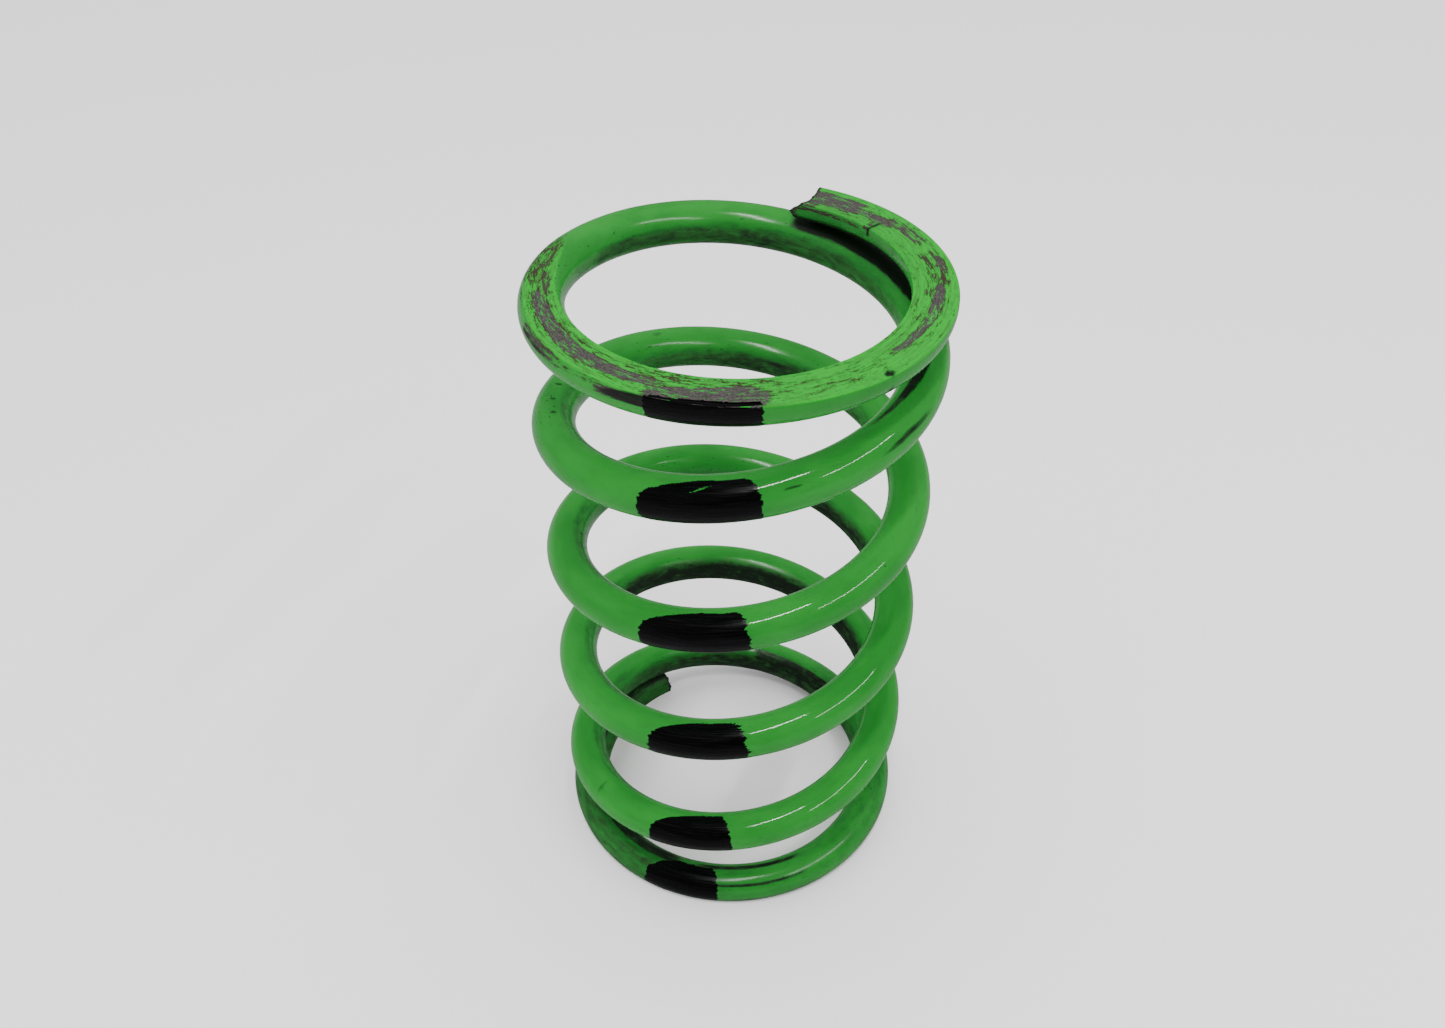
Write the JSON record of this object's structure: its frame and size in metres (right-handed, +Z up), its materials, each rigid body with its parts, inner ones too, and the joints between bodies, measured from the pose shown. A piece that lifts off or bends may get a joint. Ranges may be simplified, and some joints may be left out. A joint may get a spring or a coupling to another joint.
{
  "type": "compression coil spring",
  "caption": "Open-wound compression coil spring of round painted wire, with closed ends ground flat and a dab of marking paint on each coil.",
  "frame": {"origin": "centre of the coil on the plane of the lower ground end", "axes": "+Z up along the coil's axis, from the lower ground end to the upper one; -Y towards the row of paint marks"},
  "size_m": [0.0505, 0.0505, 0.0895],
  "materials": {
    "green_paint": "glossy sprayed enamel over steel wire, worn to metal on the ground ends",
    "black_paint": "glossy black marking paint, dabbed on by brush"
  },
  "bodies": {
    "lower_end_coil": {"lower_end_coil_1": "green_paint", "lower_end_coil_2": "green_paint", "lower_end_coil_3": "green_paint", "lower_end_coil_4": "green_paint", "lower_end_coil_5": "green_paint", "paint_mark_1": "black_paint"},
    "stretch_1": {"wire_stretch_1": "green_paint"},
    "stretch_2": {"wire_stretch_2": "green_paint", "paint_mark_2": "black_paint"},
    "stretch_3": {"wire_stretch_3": "green_paint"},
    "stretch_4": {"wire_stretch_4": "green_paint"},
    "stretch_5": {"wire_stretch_5": "green_paint"},
    "stretch_6": {"wire_stretch_6": "green_paint", "paint_mark_3": "black_paint"},
    "stretch_7": {"wire_stretch_7": "green_paint"},
    "stretch_8": {"wire_stretch_8": "green_paint"},
    "stretch_9": {"wire_stretch_9": "green_paint"},
    "stretch_10": {"wire_stretch_10": "green_paint", "paint_mark_4": "black_paint"},
    "stretch_11": {"wire_stretch_11": "green_paint"},
    "stretch_12": {"wire_stretch_12": "green_paint"},
    "stretch_13": {"wire_stretch_13": "green_paint"},
    "stretch_14": {"wire_stretch_14": "green_paint", "paint_mark_5": "black_paint"},
    "stretch_15": {"wire_stretch_15": "green_paint"},
    "upper_end_coil": {"upper_end_coil_1": "green_paint", "upper_end_coil_2": "green_paint", "upper_end_coil_3": "green_paint", "upper_end_coil_4": "green_paint", "paint_mark_6": "black_paint"}
  },
  "joints": [
    {"name": "wire_twist_1", "type": "hinge", "parent": "lower_end_coil", "child": "stretch_1", "pos_m": [-0.01445, 0.01726, 0.00638], "axis": [0.8027, 0.5921, -0.0715], "range_deg": [0, 7.09], "stiffness_Nm_per_rad": 10},
    {"name": "wire_twist_2", "type": "hinge", "parent": "stretch_1", "child": "stretch_2", "pos_m": [-0.0172, -0.01444, 0.01174], "axis": [-0.6872, 0.7263, 0.0175], "range_deg": [0, 7.21], "stiffness_Nm_per_rad": 10},
    {"name": "wire_twist_3", "type": "hinge", "parent": "stretch_2", "child": "stretch_3", "pos_m": [0.0145, -0.01721, 0.01684], "axis": [-0.7381, -0.6747, 0.0076], "range_deg": [0, 8.2], "stiffness_Nm_per_rad": 10},
    {"name": "wire_twist_4", "type": "hinge", "parent": "stretch_3", "child": "stretch_4", "pos_m": [0.01727, 0.01448, 0.02193], "axis": [0.6096, -0.7875, -0.0908], "range_deg": [0, 8.08], "stiffness_Nm_per_rad": 10},
    {"name": "wire_twist_5", "type": "hinge", "parent": "stretch_4", "child": "stretch_5", "pos_m": [-0.01443, 0.01726, 0.02703], "axis": [0.7836, 0.6144, -0.0917], "range_deg": [0, 7.36], "stiffness_Nm_per_rad": 10},
    {"name": "wire_twist_6", "type": "hinge", "parent": "stretch_5", "child": "stretch_6", "pos_m": [-0.0172, -0.01444, 0.03213], "axis": [-0.6602, 0.7504, 0.0338], "range_deg": [0, 7.46], "stiffness_Nm_per_rad": 10},
    {"name": "wire_twist_7", "type": "hinge", "parent": "stretch_6", "child": "stretch_7", "pos_m": [0.0145, -0.01721, 0.03723], "axis": [-0.7566, -0.6533, 0.0264], "range_deg": [0, 7.82], "stiffness_Nm_per_rad": 10},
    {"name": "wire_twist_8", "type": "hinge", "parent": "stretch_7", "child": "stretch_8", "pos_m": [0.01727, 0.01448, 0.04233], "axis": [0.6366, -0.7644, -0.1019], "range_deg": [0, 7.73], "stiffness_Nm_per_rad": 10},
    {"name": "wire_twist_9", "type": "hinge", "parent": "stretch_8", "child": "stretch_9", "pos_m": [-0.01443, 0.01726, 0.04743], "axis": [0.7601, 0.6423, -0.098], "range_deg": [0, 7.73], "stiffness_Nm_per_rad": 10},
    {"name": "wire_twist_10", "type": "hinge", "parent": "stretch_9", "child": "stretch_10", "pos_m": [-0.0172, -0.01444, 0.05252], "axis": [-0.6309, 0.7752, 0.0303], "range_deg": [0, 7.82], "stiffness_Nm_per_rad": 10},
    {"name": "wire_twist_11", "type": "hinge", "parent": "stretch_10", "child": "stretch_11", "pos_m": [0.0145, -0.01721, 0.05762], "axis": [-0.7797, -0.6254, 0.0301], "range_deg": [0, 7.45], "stiffness_Nm_per_rad": 10},
    {"name": "wire_twist_12", "type": "hinge", "parent": "stretch_11", "child": "stretch_12", "pos_m": [0.01727, 0.01448, 0.06272], "axis": [0.6663, -0.7396, -0.0953], "range_deg": [0, 7.38], "stiffness_Nm_per_rad": 10},
    {"name": "wire_twist_13", "type": "hinge", "parent": "stretch_12", "child": "stretch_13", "pos_m": [-0.01443, 0.01726, 0.06782], "axis": [0.7389, 0.6681, -0.0876], "range_deg": [0, 8.1], "stiffness_Nm_per_rad": 10},
    {"name": "wire_twist_14", "type": "hinge", "parent": "stretch_13", "child": "stretch_14", "pos_m": [-0.0172, -0.01444, 0.07292], "axis": [-0.6074, 0.7943, 0.0107], "range_deg": [0, 8.17], "stiffness_Nm_per_rad": 10},
    {"name": "wire_twist_15", "type": "hinge", "parent": "stretch_14", "child": "stretch_15", "pos_m": [0.0145, -0.01721, 0.07801], "axis": [-0.8011, -0.5984, 0.015], "range_deg": [0, 7.17], "stiffness_Nm_per_rad": 10},
    {"name": "wire_twist_16", "type": "hinge", "parent": "stretch_15", "child": "upper_end_coil", "pos_m": [0.01723, 0.01449, 0.08258], "axis": [0.6891, -0.7217, -0.0658], "range_deg": [0, 7.12], "stiffness_Nm_per_rad": 10}
  ],
  "couplings": [
    {"joint": "wire_twist_2", "follows": "wire_twist_1", "ratio": 1.0165},
    {"joint": "wire_twist_3", "follows": "wire_twist_1", "ratio": 1.1559},
    {"joint": "wire_twist_4", "follows": "wire_twist_1", "ratio": 1.1393},
    {"joint": "wire_twist_5", "follows": "wire_twist_1", "ratio": 1.0377},
    {"joint": "wire_twist_6", "follows": "wire_twist_1", "ratio": 1.0527},
    {"joint": "wire_twist_7", "follows": "wire_twist_1", "ratio": 1.103},
    {"joint": "wire_twist_8", "follows": "wire_twist_1", "ratio": 1.0896},
    {"joint": "wire_twist_9", "follows": "wire_twist_1", "ratio": 1.0898},
    {"joint": "wire_twist_10", "follows": "wire_twist_1", "ratio": 1.1022},
    {"joint": "wire_twist_11", "follows": "wire_twist_1", "ratio": 1.0502},
    {"joint": "wire_twist_12", "follows": "wire_twist_1", "ratio": 1.0406},
    {"joint": "wire_twist_13", "follows": "wire_twist_1", "ratio": 1.1425},
    {"joint": "wire_twist_14", "follows": "wire_twist_1", "ratio": 1.1524},
    {"joint": "wire_twist_15", "follows": "wire_twist_1", "ratio": 1.0114},
    {"joint": "wire_twist_16", "follows": "wire_twist_1", "ratio": 1.0032}
  ]
}
